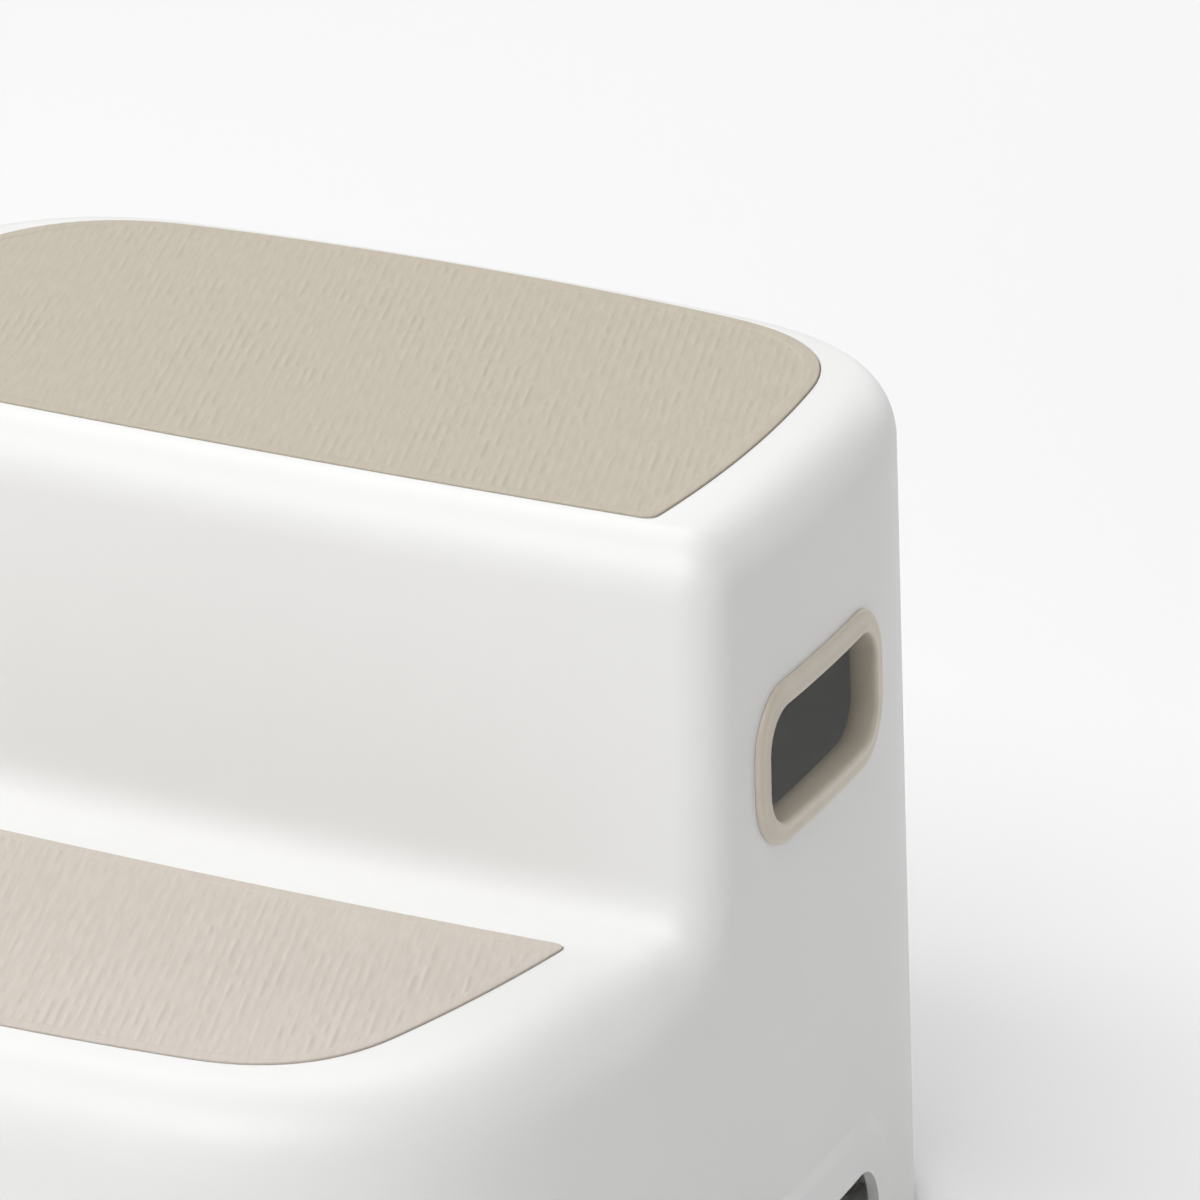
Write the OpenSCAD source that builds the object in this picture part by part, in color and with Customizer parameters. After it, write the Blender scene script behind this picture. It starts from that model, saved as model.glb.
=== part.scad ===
// Two-step stool: one moulded shell with a low front tread and a high back tread,
// two soft tread pads, two soft rings in the carrying holes and four soft feet.
// Millimetres. +X is the right side, -Y the front, +Z up.
// The origin is on the floor, under the middle of the stool.

/* [Overall] */
// Height of the upper tread above the floor
top_h = 265; // [255:1:276]
// Height of the lower tread above the floor
low_h = 150; // [142:1:158]
// Width of the shell where it is widest, measured at the height of the upper tread
body_w = 370; // [360:1:384]
// Depth of the shell, measured at the height of the upper tread
body_d = 370; // [362:1:384]
// Outward lean of every wall for each millimetre downwards
draft = 0.032; // [0.026:0.002:0.05]
// Wall thickness of the moulding
wall = 3.5; // [3:0.1:4]
// Gap between the bottom edge of the shell and the floor
rim_gap = 3; // [2:0.5:5]

/* [Plan outline] */
// Where the shell is widest, from the middle towards the back
widest_y = -25; // [-35:1:-15]
// How much each side comes in at the front corner
front_taper = 16; // [12:1:19]
// How much each side comes in at the back corner
back_taper = 28; // [24:1:30]
// Forward bow of the front wall
front_bow = 15; // [12:1:18]
// Backward bow of the back wall
back_bow = 14; // [12:1:18]
// Length of each side that a front corner's curve takes up
front_corner = 77; // [68:1:86]
// Length of each side that a back corner's curve takes up
back_corner = 61; // [56:1:70]

/* [Stair profile] */
// Sharp top edge of the riser, from the middle towards the back
riser_y = -20; // [-26:1:-14]
// Forward bow of the riser
riser_bow = 5; // [3:0.5:7]
// Forward lean of the riser for each millimetre downwards
riser_lean = 0.045; // [0.03:0.005:0.06]
// Rounding between riser and upper tread
nose_r = 17.5; // [16:0.5:20]
// Rounding between lower tread and riser
cove_r = 16; // [14:0.5:18]

/* [Edge rounding] */
// Rounding along the front of the lower tread
edge_front = 23; // [20:1:26]
// Rounding along the sides of the lower tread
edge_low = 27; // [22:1:30]
// Rounding of the riser's upright corners
edge_riser = 13.5; // [10:0.5:14]
// Rounding along the sides of the upper tread
edge_top = 18.5; // [17:0.5:22]
// Rounding along the back of the upper tread
edge_back = 11.5; // [9:0.5:14]

/* [Upper pad] */
// Width of the upper pad at its front edge
up_front_w = 313.5; // [300:0.5:316]
// Width of the upper pad at its back edge
up_back_w = 270.5; // [260:0.5:275]
// Distance from the riser's sharp edge to the upper pad
up_front_gap = 18.5; // [18:0.5:22]
// Distance from the back wall to the upper pad
up_back_gap = 11.5; // [11:0.5:17]
// Forward bow of the upper pad's front edge
up_front_bow = 3.5; // [2:0.5:6]
// Backward bow of the upper pad's back edge
up_back_bow = 11.5; // [9:0.5:14]
// Outward bow of the upper pad's sides
up_side_bow = 6; // [4:0.5:8]
// Size of the upper pad's front corners
up_front_corner = 4; // [3:0.5:6]
// Size of the upper pad's back corners
up_back_corner = 40.5; // [36:0.5:44]

/* [Lower pad] */
// Width of the lower pad at its front edge
low_front_w = 264; // [252:0.5:268]
// Width of the lower pad at its back edge
low_back_w = 303.5; // [290:0.5:306]
// Distance from the riser's foot to the lower pad
low_back_gap = 18; // [17:0.5:22]
// Distance from the front wall to the lower pad
low_front_gap = 28; // [26:0.5:32]
// Forward bow of the lower pad's front edge
low_front_bow = 12.5; // [9:0.5:15]
// Forward bow of the lower pad's back edge
low_back_bow = 5; // [3:0.5:7]
// Outward bow of the lower pad's sides
low_side_bow = 3; // [2:0.5:5]
// Size of the lower pad's front corners
low_front_corner = 33; // [28:1:38]
// Size of the lower pad's back corners
low_back_corner = 4; // [3:0.5:6]

/* [Pad section] */
// Depth of the pockets that the pads lie in
pocket_depth = 1.5; // [1:0.1:2]
// How far the pads stand above the treads
pad_proud = 0.6; // [0.4:0.1:1.2]
// Gap between a pad and the side of its pocket
pad_gap = 0.3; // [0.2:0.1:0.5]

/* [Carrying holes] */
// Middle of each hole, from the middle of the stool towards the back
hole_y = 55.7; // [46:0.1:60]
// Height of each hole's middle above the floor
hole_z = 189.5; // [184:0.5:194]
// Outer length of the ring
ring_l = 97; // [92:1:104]
// Outer height of the ring
ring_h = 48.5; // [45:0.5:52]
// Outer corner radius of the ring
ring_r = 19; // [17:0.5:21]
// Width of the ring's flange
flange_w = 7; // [6:0.1:8.5]
// Height of the ring's flange above the wall
flange_h = 2.4; // [1.8:0.1:3.2]
// Thickness of the ring's sleeve, which lines the hole
sleeve_t = 2; // [1.6:0.1:2.6]
// Depth of the ring's sleeve behind the outside of the wall
sleeve_d = 7; // [6:0.5:10]
// Gap between the ring and the shell
ring_gap = 0.3; // [0.2:0.1:0.5]

/* [Side arches] */
// Middle of each arch, from the middle of the stool towards the back
arch_y = 0; // [-10:1:10]
// Length of the arch's opening
arch_l = 182; // [166:1:196]
// Height of the arch's opening above the floor
arch_h = 40.5; // [36:0.5:46]
// Corner radius of the arch's opening
arch_r = 16; // [12:1:20]
// Width of the raised band round the arch
band_w = 11.5; // [9:0.5:14]
// Height of the raised band above the wall
band_h = 2; // [1.5:0.1:2.6]
// Width of the slope along the band's outer edge
band_slope = 5.5; // [4:0.5:7]

/* [Underside] */
// Thickness of the ribs
rib_t = 2.4; // [2:0.1:3]
// Depth of the ribs under the upper tread
rib_up = 12; // [9:1:20]
// Depth of the ribs under the lower tread
rib_low = 12; // [9:1:20]
// Depth of the ribs behind the riser
rib_riser = 10; // [8:1:18]
// Distance between the ribs that run from front to back
rib_pitch_x = 109; // [100:1:120]
// Distance between the ribs that run from side to side
rib_pitch_y = 64; // [58:1:68]
// Distance from the side of the shell to the middle of a foot post, at the upper tread's height
post_side_gap = 45; // [41:1:49]
// Distance from the front or back of the shell to the middle of a foot post, at that height
post_end_gap = 41; // [37:1:45]
// Outer diameter of the foot posts
post_d = 24; // [22:1:28]
// Height of the foot posts above the rim
post_h = 34; // [26:1:44]

/* [Feet] */
// Diameter of a foot's head
foot_d = 28; // [26:1:32]
// Diameter of a foot's stem
stem_d = 12; // [10:0.5:14]
// Length of a foot's stem
stem_l = 14; // [10:1:20]
// Gap between a foot's stem and its post
stem_gap = 0.25; // [0.2:0.05:0.4]

/* [Hidden] */

front_y = -body_d / 2;
back_y = body_d / 2;
riser_angle = 90 - atan(riser_lean);

// How many steps each stretch of the stair's rim is drawn with
edge_steps = 5;
corner_steps = 9;
low_side_steps = 4;
cove_steps = 6;
riser_steps = 2;
nose_steps = 6;
top_side_steps = 5;
round_steps = 6;
wall_rows = 3;
cross_steps = 10;

function unit(v) = v / norm(v);
function lerp(a, b, t) = a + (b - a) * t;
function ease(t) = t <= 0 ? 0 : t >= 1 ? 1 : t * t * (3 - 2 * t);
function mirrored(p) = [-p[0], p[1], p[2]];

// Direction that turns evenly from a to b as t goes from 0 to 1
function turned(a, b, t) =
    let (whole = acos(min(1, max(-1, a * b))))
    whole < 0.01 ? a : (sin((1 - t) * whole) * a + sin(t * whole) * b) / sin(whole);

// Where the line through a along da meets the line through b along db
function meeting(a, da, b, db) =
    let (k = ((b[0] - a[0]) * db[1] - (b[1] - a[1]) * db[0]) / (da[0] * db[1] - da[1] * db[0]))
    a + k * da;

// Curve from a to b that leaves along da and arrives along db
function bend_point(a, c, b, t) = (1 - t) * (1 - t) * a + 2 * t * (1 - t) * c + t * t * b;
function bend_normal(a, c, b, t) =
    let (d = (1 - t) * (c - a) + t * (b - c))
    unit([d[1], -d[0]]);

// Plan outline at the height of the upper tread. Lower down it is this outline, enlarged.
function enlarged(z) = 1 + draft * (top_h - z) / (body_w / 2);
function taper(y) = y < widest_y ? front_taper / pow(front_y - widest_y, 2)
                                 : back_taper / pow(back_y - widest_y, 2);
function side_x(y) = body_w / 2 - taper(y) * pow(y - widest_y, 2);
function side_normal(y) = unit([1, 2 * taper(y) * (y - widest_y)]);
function wall_x(y, z) = enlarged(z) * side_x(y / enlarged(z));
function leaning(n) = unit([n[0], n[1], draft]);

front_half = side_x(front_y + front_bow);
back_half = side_x(back_y - back_bow);
function front_line(x) = [x, front_y + front_bow * pow(x / front_half, 2)];
function front_normal(x) = unit([2 * front_bow * x / pow(front_half, 2), -1]);
function back_line(x) = [x, back_y - back_bow * pow(x / back_half, 2)];
function back_normal(x) = unit([2 * back_bow * x / pow(back_half, 2), 1]);
function along(n) = [-n[1], n[0]];

front_a = front_line(front_half - front_corner);
front_an = front_normal(front_a[0]);
front_b = let (y = front_y + front_bow + front_corner) [side_x(y), y];
front_bn = side_normal(front_b[1]);
front_c = meeting(front_a, along(front_an), front_b, along(front_bn));
back_a = let (y = back_y - back_bow - back_corner) [side_x(y), y];
back_an = side_normal(back_a[1]);
back_b = back_line(back_half - back_corner);
back_bn = back_normal(back_b[0]);
back_c = meeting(back_a, along(back_an), back_b, along(back_bn));

// Stair profile beside the side walls: lower tread, cove, riser, nose and upper tread
function riser_at(z) = riser_y + riser_bow - riser_lean * (top_h - z);
function face_dir(angle) = [0, -sin(angle), cos(angle)];
riser_dir = face_dir(riser_angle);
nose_z = top_h - nose_r;
nose_y = riser_at(nose_z + nose_r * riser_dir[2]) - nose_r * riser_dir[1];
cove_z = low_h + cove_r;
cove_y = riser_at(cove_z - cove_r * riser_dir[2]) + cove_r * riser_dir[1];

// A station of the rim: sharp edge point, wall direction, tread direction, rounding, and
// how it runs down the wall: undef straight down, or the place at the rim that it heads for
function edge_station(p, n, z, r) =
    let (k = enlarged(z))
    [[k * p[0], k * p[1], z], leaning(n), [0, 0, 1], r, undef];
function side_station(y, z, dir, r, foot) =
    [[wall_x(y, z), y, z], leaning(side_normal(y / enlarged(z))), dir, r, foot];

low_k = enlarged(low_h);
low_start = low_k * front_b[1];
cove_hi = cove_z - cove_r * riser_dir[2];
nose_lo = nose_z + nose_r * riser_dir[2];
foot_from = (riser_at(cove_hi) + edge_riser) / enlarged(cove_hi);
foot_steps = riser_steps + nose_steps + top_side_steps;
edge_nose = min(edge_top, nose_r - 0.5);
function foot_y(i) = lerp(foot_from, back_a[1], i / foot_steps);

stations = concat(
    [for (i = [0 : edge_steps - 1])
        let (x = front_a[0] * i / edge_steps)
        edge_station(front_line(x), front_normal(x), low_h, edge_front)],
    [for (i = [0 : corner_steps])
        let (t = i / corner_steps)
        edge_station(bend_point(front_a, front_c, front_b, t), bend_normal(front_a, front_c, front_b, t),
                     low_h, lerp(edge_front, edge_low, ease(t)))],
    [for (i = [1 : low_side_steps])
        let (t = i / low_side_steps, y = lerp(low_start, cove_y, t))
        side_station(y, low_h, [0, 0, 1], lerp(edge_low, (edge_low + edge_riser) / 2, ease(t * 2 - 1)),
                     y / low_k)],
    [for (i = [1 : cove_steps])
        let (t = i / cove_steps, d = face_dir(riser_angle * t),
             y = cove_y - cove_r * d[1], z = cove_z - cove_r * d[2],
             r = lerp((edge_low + edge_riser) / 2, edge_riser, ease(t)))
        side_station(y, z, d, r, (y - r * d[1]) / enlarged(z))],
    [for (i = [1 : riser_steps])
        let (z = lerp(cove_hi, nose_lo, i / riser_steps))
        side_station(riser_at(z), z, riser_dir, edge_riser, foot_y(i))],
    [for (i = [1 : nose_steps])
        let (t = i / nose_steps, d = face_dir(riser_angle * (1 - t)))
        side_station(nose_y + nose_r * d[1], nose_z + nose_r * d[2], d, lerp(edge_riser, edge_nose, t),
                     foot_y(riser_steps + i))],
    [for (i = [1 : top_side_steps])
        let (t = i / top_side_steps)
        side_station(lerp(nose_y, back_a[1], t), top_h, [0, 0, 1], lerp(edge_nose, edge_top, ease(t * 1.5)),
                     foot_y(riser_steps + nose_steps + i))],
    [for (i = [1 : corner_steps])
        let (t = i / corner_steps)
        edge_station(bend_point(back_a, back_c, back_b, t), bend_normal(back_a, back_c, back_b, t),
                     top_h, lerp(edge_top, edge_back, ease(t)))],
    [for (i = [1 : edge_steps])
        let (x = back_b[0] * (1 - i / edge_steps))
        edge_station(back_line(x), back_normal(x), top_h, edge_back)]);

last = len(stations) - 1;
cove_i = edge_steps + corner_steps + low_side_steps;
nose_i = cove_i + cove_steps + riser_steps + nose_steps;
loop_n = 2 * last;

// Point of the rounded rim, t from 0 on the wall to 1 on the tread, set in from the outside
function rim_point(s, t, inset) =
    let (n = turned(s[1], s[2], t), c = s[0] - s[3] * (s[1] + s[2]) / (1 + s[1] * s[2]),
         p = c + s[3] * n, on_wall = t == 0 && s[4] != undef)
    (on_wall ? [wall_x(p[1], p[2]), p[1], p[2]] : p) - inset * n;

// Point of the wall below the rim, t from 0 at the rounding to 1 at the bottom edge
function wall_point(s, t, inset, bottom) =
    let (p = rim_point(s, 0, 0), z = lerp(p[2], bottom, t), k = enlarged(z), kp = enlarged(p[2]),
         y = s[4] == undef ? 0 : lerp(p[1] / kp, s[4], t))
    s[4] == undef ? [p[0] * k / kp, p[1] * k / kp, z] - inset * s[1]
                  : [k * side_x(y), k * y, z] - inset * leaning(side_normal(y));

function whole_loop(half) = concat(half, [for (i = [last - 1 : -1 : 1]) mirrored(half[i])]);

// Closed solid of the stair's form, set in from the outside and cut off at the bottom
module stair_solid(inset, bottom) {
    rows = concat(
        [for (j = [0 : round_steps])
            whole_loop([for (s = stations) rim_point(s, 1 - j / round_steps, inset)])],
        [for (j = [1 : wall_rows])
            whole_loop([for (s = stations) wall_point(s, j / wall_rows, inset, bottom)])]);
    n_rows = len(rows);
    top_row = rows[0];
    grid = [for (i = [cove_i : nose_i]) [for (j = [1 : cross_steps - 1])
        let (p = top_row[i], u = 1 - 2 * j / cross_steps)
        [p[0] * u, p[1] - riser_bow * (1 - u * u), p[2]]]];
    grid_at = n_rows * loop_n;
    cross_n = cross_steps - 1;
    low_mid = grid_at + len(grid) * cross_n;
    top_mid = low_mid + 1;
    base_mid = low_mid + 2;
    points = concat([for (r = rows) for (p = r) p], [for (g = grid) for (p = g) p],
        [[0, lerp(top_row[0][1], top_row[cove_i][1], 0.5), low_h - inset],
         [0, lerp(top_row[nose_i][1], top_row[last][1], 0.5), top_h - inset],
         [0, 0, bottom]]);
    function across(i, j) =
        j == 0 ? i : j == cross_steps ? loop_n - i : grid_at + (i - cove_i) * cross_n + j - 1;
    low_edge = concat([for (i = [0 : cove_i]) i], [for (j = [1 : cross_n]) across(cove_i, j)],
        [for (i = [cove_i : -1 : 1]) loop_n - i]);
    top_edge = concat([for (i = [nose_i : loop_n - nose_i]) i],
        [for (j = [cross_n : -1 : 1]) across(nose_i, j)]);
    faces = concat(
        [for (r = [0 : n_rows - 2]) for (i = [0 : loop_n - 1])
            let (a = r * loop_n + i, b = r * loop_n + (i + 1) % loop_n)
            for (f = [[a, b, a + loop_n], [b, b + loop_n, a + loop_n]]) f],
        [for (i = [cove_i : nose_i - 1]) for (j = [0 : cross_steps - 1])
            let (a = across(i, j), b = across(i, j + 1), c = across(i + 1, j), d = across(i + 1, j + 1))
            for (f = [[a, b, c], [b, d, c]]) f],
        [for (k = [0 : len(low_edge) - 1]) [low_edge[(k + 1) % len(low_edge)], low_edge[k], low_mid]],
        [for (k = [0 : len(top_edge) - 1]) [top_edge[(k + 1) % len(top_edge)], top_edge[k], top_mid]],
        [for (i = [0 : loop_n - 1])
            [(n_rows - 1) * loop_n + i, (n_rows - 1) * loop_n + (i + 1) % loop_n, base_mid]]);
    polyhedron(points = points, faces = faces, convexity = 6);
}

// Outline of a tread pad, grown outwards. A pad is [front width, back width, front middle,
// back middle, front bow, back bow, side bow, front corner, back corner].
function grown(p, d) =
    [p[0] + 2 * d, p[1] + 2 * d, p[2] - d, p[3] + d, p[4], p[5], p[6], p[7] + d, p[8] + d];
function pad_front(p, x) = [x, p[2] + p[4] * pow(2 * x / p[0], 2)];
function pad_back(p, x) = [x, p[3] - p[5] * pow(2 * x / p[1], 2)];
function pad_side(p, t) =
    [lerp(p[0], p[1], t) / 2 + p[6] * 4 * t * (1 - t), lerp(p[2] + p[4], p[3] - p[5], t)];
function pad_corner(a, da, b, db) =
    let (c = meeting(a, da, b, db))
    [for (i = [0 : corner_steps]) bend_point(a, c, b, i / corner_steps)];
function pad_half(p) =
    let (depth = p[3] - p[5] - p[2] - p[4], tiny = 0.001,
         front_x = p[0] / 2 - p[7], back_x = p[1] / 2 - p[8],
         from = p[7] / depth, to = 1 - p[8] / depth,
         a = pad_front(p, front_x), b = pad_side(p, from), c = pad_side(p, to), d = pad_back(p, back_x))
    concat([for (i = [0 : pad_steps - 1]) pad_front(p, front_x * i / pad_steps)],
           pad_corner(a, a - pad_front(p, front_x - tiny), b, pad_side(p, from + tiny) - b),
           [for (i = [1 : pad_steps - 1]) pad_side(p, lerp(from, to, i / pad_steps))],
           pad_corner(c, pad_side(p, to + tiny) - c, d, d - pad_back(p, back_x - tiny)),
           [for (i = [1 : pad_steps]) pad_back(p, back_x * (1 - i / pad_steps))]);
function pad_outline(p, d) =
    let (half = pad_half(grown(p, d)))
    concat(half, [for (i = [len(half) - 2 : -1 : 1]) [-half[i][0], half[i][1]]]);

pad_steps = 6;
pad_edge = 0.4;
riser_foot_y = riser_y - riser_lean * (top_h - low_h);
up_pad = [up_front_w, up_back_w, riser_y + up_front_gap, back_y - up_back_gap,
          up_front_bow, up_back_bow, up_side_bow, up_front_corner, up_back_corner];
low_pad = [low_front_w, low_back_w, low_k * front_y + low_front_gap, riser_foot_y - low_back_gap,
           low_front_bow, -low_back_bow, low_side_bow, low_front_corner, low_back_corner];

module pad(p, tread) {
    floor_z = tread - pocket_depth;
    top_z = tread + pad_proud;
    translate([0, 0, floor_z]) linear_extrude(height = top_z - pad_edge - floor_z)
        polygon(pad_outline(p, 0));
    translate([0, 0, top_z - pad_edge]) linear_extrude(height = pad_edge)
        polygon(pad_outline(p, -pad_edge));
}

module pocket(p, tread) {
    translate([0, 0, tread - pocket_depth]) linear_extrude(height = 2 * pocket_depth)
        polygon(pad_outline(p, pad_gap));
}

// Shape in the plane of a side wall, drawn as [towards the back, up] and run through that wall
module through_side(side) {
    mirror([side < 0 ? 1 : 0, 0, 0]) translate([body_w / 4, 0, 0]) rotate([90, 0, 90])
        linear_extrude(height = body_w / 2) children();
}

// Path on the side wall. Each entry is [y, z, direction outwards], and the path's own point
// lies a given radius away from [y, z] in that direction.
function arc_path(c, from, to, n) = [for (i = [0 : n]) [c[0], c[1], lerp(from, to, i / n)]];
function line_path(a, b, dir, n) =
    [for (i = [1 : n - 1]) [lerp(a[0], b[0], i / n), lerp(a[1], b[1], i / n), dir]];
function path_point(k, r) = [k[0] + r * cos(k[2]), k[1] + r * sin(k[2])];

// Solid that follows a path on the side wall. Its section's points are
// [distance outwards from the path, height above the wall].
module wall_sweep(path, r, section, closed) {
    n = len(path);
    m = len(section);
    points = [for (k = path) for (s = section)
        let (p = path_point(k, r + s[0]))
        [wall_x(p[0], p[1]) + s[1], p[0], p[1]]];
    sides = [for (i = [0 : n - (closed ? 1 : 2)]) for (j = [0 : m - 1])
        let (a = i * m + j, b = i * m + (j + 1) % m, c = (a + m) % (n * m), d = (b + m) % (n * m))
        for (f = [[a, b, c], [b, d, c]]) f];
    ends = closed ? [] : [[for (j = [m - 1 : -1 : 0]) j], [for (j = [0 : m - 1]) (n - 1) * m + j]];
    polyhedron(points = points, faces = concat(sides, ends), convexity = 8);
}

// Carrying hole and its soft ring, which snaps in: flange outside, sleeve, bead behind the wall
ring_arc_steps = 9;
ring_line_steps = 5;
ring_half_l = ring_l / 2 - ring_r;
ring_half_h = ring_h / 2 - ring_r;
ring_back = hole_y + ring_half_l;
ring_front = hole_y - ring_half_l;
ring_up = hole_z + ring_half_h;
ring_down = hole_z - ring_half_h;
ring_path = concat(
    arc_path([ring_back, ring_up], 0, 90, ring_arc_steps),
    line_path([ring_back, ring_up], [ring_front, ring_up], 90, ring_line_steps),
    arc_path([ring_front, ring_up], 90, 180, ring_arc_steps),
    arc_path([ring_front, ring_down], 180, 270, ring_arc_steps),
    line_path([ring_front, ring_down], [ring_back, ring_down], 270, ring_line_steps),
    arc_path([ring_back, ring_down], 270, 360, ring_arc_steps));
sleeve_in = -flange_w;
sleeve_out = sleeve_in + sleeve_t;
hole_in = sleeve_out + ring_gap;
bead_out = 1;
bead_h = 0.7;
bead_ramp = 0.5;
bead_top = -wall - ring_gap;
ring_section = [
    [0, ring_gap],
    [-0.02 * flange_w, 0.4 * flange_h],
    [-0.12 * flange_w, 0.75 * flange_h],
    [-0.32 * flange_w, 0.96 * flange_h],
    [-0.55 * flange_w, flange_h],
    [-0.78 * flange_w, 0.84 * flange_h],
    [-0.93 * flange_w, 0.5 * flange_h],
    [sleeve_in, -0.1 * flange_h],
    [sleeve_in, -sleeve_d],
    [sleeve_out, -sleeve_d],
    [sleeve_out + bead_out, bead_top - bead_ramp - bead_h],
    [sleeve_out + bead_out, bead_top - bead_ramp],
    [sleeve_out, bead_top],
    [sleeve_out, ring_gap]];

module hole_shape() {
    polygon([for (k = ring_path) path_point(k, ring_r + hole_in)]);
}

module grip_ring() {
    wall_sweep(ring_path, ring_r, ring_section, true);
}

// Arch in the bottom of the side wall, with a raised band round it
arch_arc_steps = 7;
arch_line_steps = 8;
leg_steps = 2;
arch_back = arch_y + arch_l / 2 - arch_r;
arch_front = arch_y - arch_l / 2 + arch_r;
arch_up = arch_h - arch_r;
arch_path = concat(
    [[arch_back, rim_gap, 0]],
    line_path([arch_back, rim_gap], [arch_back, arch_up], 0, leg_steps),
    arc_path([arch_back, arch_up], 0, 90, arch_arc_steps),
    line_path([arch_back, arch_up], [arch_front, arch_up], 90, arch_line_steps),
    arc_path([arch_front, arch_up], 90, 180, arch_arc_steps),
    line_path([arch_front, arch_up], [arch_front, rim_gap], 180, leg_steps),
    [[arch_front, rim_gap, 180]]);
band_root = wall / 2;
band_section = [
    [band_w + band_slope * (1 + band_root / band_h), -band_root],
    [band_w, band_h],
    [-band_root, band_h],
    [-band_root, -band_root]];

// The opening's corners have their own steps, so that no cut runs along an edge of the band
cut_arc_steps = 8;

module arch_shape() {
    corners = concat(arc_path([arch_back, arch_up], 0, 90, cut_arc_steps),
                     arc_path([arch_front, arch_up], 90, 180, cut_arc_steps));
    polygon(concat([for (k = corners) path_point(k, arch_r)],
                   [[arch_front - arch_r, -rim_gap], [arch_back + arch_r, -rim_gap]]));
}

// Ribs on the underside of both treads and behind the riser
module ribs() {
    behind = riser_y + rib_riser;
    far = body_w;
    for (i = [-0.5, 0.5])
        translate([i * rib_pitch_x - rib_t / 2, 0, 0]) rotate([90, 0, 90]) linear_extrude(height = rib_t)
            polygon([[-far, low_h - rib_low], [behind, low_h - rib_low], [behind, top_h - rib_up],
                     [far, top_h - rib_up], [far, top_h], [-far, top_h]]);
    for (i = [-2.5 : 1 : 2.5])
        let (y = i * rib_pitch_y, bottom = y < behind ? low_h - rib_low : top_h - rib_up)
        translate([-far, y - rib_t / 2, bottom]) cube([2 * far, rib_t, top_h - bottom]);
}

// Posts that take the feet, each with a web to the side wall and one to the front or back wall
module post(x, y) {
    translate([x, y, rim_gap]) cylinder(d = post_d, h = post_h, $fn = 40);
    for (reach = [[sign(x) * body_w / 2, 0], [0, sign(y) * body_d / 2]])
        hull() for (end = [[x, y], [x, y] + reach])
            translate([end[0], end[1], rim_gap]) cylinder(d = rib_t, h = post_h, $fn = 12);
}

post_x = body_w / 2 - post_side_gap;
post_y = body_d / 2 - post_end_gap;
bore_spare = 1;

module post_bore(x, y) {
    translate([x, y, 0]) cylinder(d = stem_d + 2 * stem_gap, h = rim_gap + stem_l + bore_spare, $fn = 40);
}

module at_posts() {
    for (x = [-post_x, post_x]) for (y = [-post_y, post_y]) let ($x = x, $y = y) children();
}

module body_shell() {
    color([0.96, 0.96, 0.95])
    difference() {
        union() {
            difference() {
                stair_solid(0, rim_gap);
                stair_solid(wall, rim_gap - wall);
            }
            intersection() {
                stair_solid(wall / 2, rim_gap);
                union() {
                    ribs();
                    at_posts() post($x, $y);
                }
            }
            for (side = [0, 1]) mirror([side, 0, 0]) wall_sweep(arch_path, arch_r, band_section, false);
        }
        pocket(up_pad, top_h);
        pocket(low_pad, low_h);
        for (side = [-1, 1]) through_side(side) {
            hole_shape();
            arch_shape();
        }
        at_posts() post_bore($x, $y);
    }
}

module upper_tread_pad() {
    color([0.80, 0.76, 0.70]) pad(up_pad, top_h);
}

module lower_tread_pad() {
    color([0.84, 0.81, 0.76]) pad(low_pad, low_h);
}

module grip_ring_right() {
    color([0.71, 0.67, 0.61]) grip_ring();
}

module grip_ring_left() {
    color([0.71, 0.67, 0.61]) mirror([1, 0, 0]) grip_ring();
}

foot_bevel = 1;

module foot(x, y) {
    color([0.62, 0.60, 0.57])
    translate([x, y, 0]) rotate_extrude($fn = 64)
        polygon([[0, 0], [foot_d / 2 - foot_bevel, 0], [foot_d / 2, foot_bevel], [foot_d / 2, rim_gap],
                 [stem_d / 2, rim_gap], [stem_d / 2, rim_gap + stem_l], [0, rim_gap + stem_l]]);
}

module foot_front_right() {
    foot(post_x, -post_y);
}

module foot_front_left() {
    foot(-post_x, -post_y);
}

module foot_back_right() {
    foot(post_x, post_y);
}

module foot_back_left() {
    foot(-post_x, post_y);
}

body_shell();
upper_tread_pad();
lower_tread_pad();
grip_ring_right();
grip_ring_left();
foot_front_right();
foot_front_left();
foot_back_right();
foot_back_left();
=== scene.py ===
import math

import bmesh
import bpy
import numpy as np
from mathutils import Matrix, Vector
from mathutils.bvhtree import BVHTree


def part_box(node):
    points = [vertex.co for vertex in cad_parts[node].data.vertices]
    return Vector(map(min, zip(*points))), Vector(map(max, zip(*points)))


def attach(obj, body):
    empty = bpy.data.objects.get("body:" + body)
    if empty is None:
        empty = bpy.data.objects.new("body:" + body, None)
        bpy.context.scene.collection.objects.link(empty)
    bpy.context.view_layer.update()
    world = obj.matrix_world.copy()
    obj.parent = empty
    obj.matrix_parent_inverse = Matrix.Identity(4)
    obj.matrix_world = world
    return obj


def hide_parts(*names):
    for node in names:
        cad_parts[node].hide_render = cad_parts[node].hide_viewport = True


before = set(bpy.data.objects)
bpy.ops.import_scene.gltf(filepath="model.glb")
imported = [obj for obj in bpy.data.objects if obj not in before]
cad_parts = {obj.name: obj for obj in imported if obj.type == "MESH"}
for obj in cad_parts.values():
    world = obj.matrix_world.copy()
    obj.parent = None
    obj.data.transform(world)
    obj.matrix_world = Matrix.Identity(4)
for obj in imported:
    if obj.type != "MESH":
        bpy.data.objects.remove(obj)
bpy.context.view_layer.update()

# Two-step stool: the looks of a moulded shell with soft tread pads, rings and feet.
# Sizes are in millimetres up to the point where a mesh is made, and MM turns them into metres.
MM = 0.001


def box_mm(node):
    low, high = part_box(node)
    return np.array(low) / MM, np.array(high) / MM


shell_low, shell_high = box_mm("body_shell")
upper_low, upper_high = box_mm("upper_tread_pad")
lower_low, lower_high = box_mm("lower_tread_pad")
ring_low, ring_high = box_mm("grip_ring_right")
foot_low, foot_high = box_mm("foot_front_right")

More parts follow.
